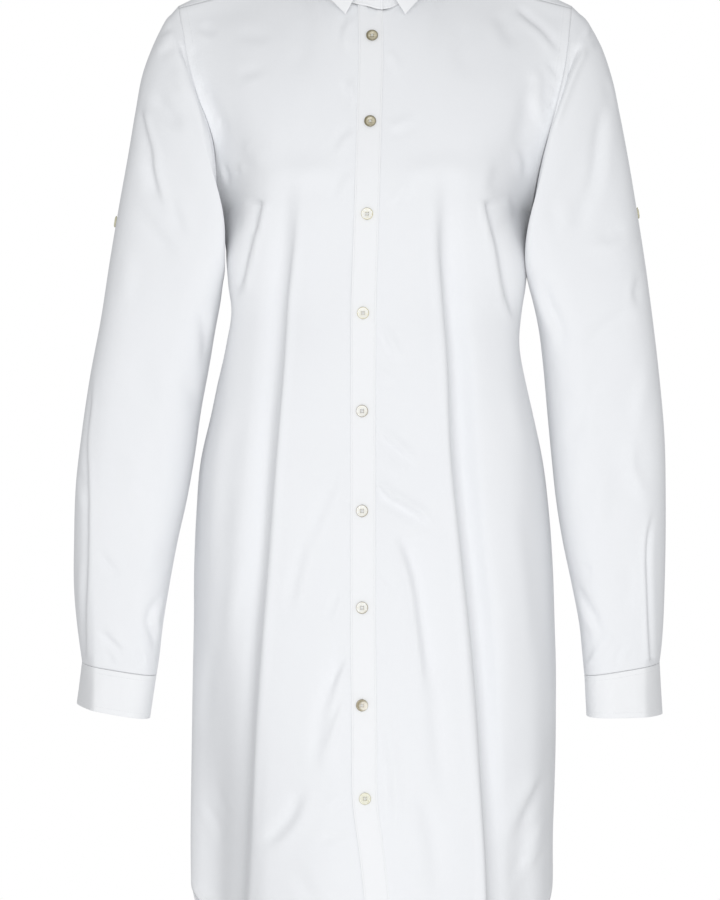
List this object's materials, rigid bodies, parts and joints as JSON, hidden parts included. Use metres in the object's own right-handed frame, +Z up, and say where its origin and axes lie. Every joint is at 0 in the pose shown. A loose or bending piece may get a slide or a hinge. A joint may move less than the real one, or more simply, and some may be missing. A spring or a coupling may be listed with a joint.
{
  "type": "shirt dress",
  "caption": "White cotton shirt dress with long sleeves, small pointed collar, button front and curved hem, filled out as if worn.",
  "frame": {"origin": "midway between the side points of the neck, where the wearer's shoulders carry the dress", "axes": "+Z up, -Y towards the front, +X towards the wearer's left"},
  "size_m": [0.5608, 0.2754, 1.0092],
  "materials": {
    "poplin": "crisp white cotton poplin",
    "shell_button": "cream mother-of-pearl look"
  },
  "bodies": {
    "root": {"front_right": "poplin", "front_left": "poplin", "back": "poplin", "yoke": "poplin", "sleeve_right": "poplin", "sleeve_left": "poplin", "cuff_right": "poplin", "cuff_left": "poplin", "collar_stand": "poplin", "collar": "poplin", "placket": "poplin", "button_00": "shell_button", "button_01": "shell_button", "button_02": "shell_button", "button_03": "shell_button", "button_04": "shell_button", "button_05": "shell_button", "button_06": "shell_button", "button_07": "shell_button", "button_08": "shell_button", "button_09": "shell_button", "tab_button_right": "shell_button", "tab_button_left": "shell_button", "cuff_button_right": "shell_button", "cuff_button_left": "shell_button"}
  },
  "joints": []
}
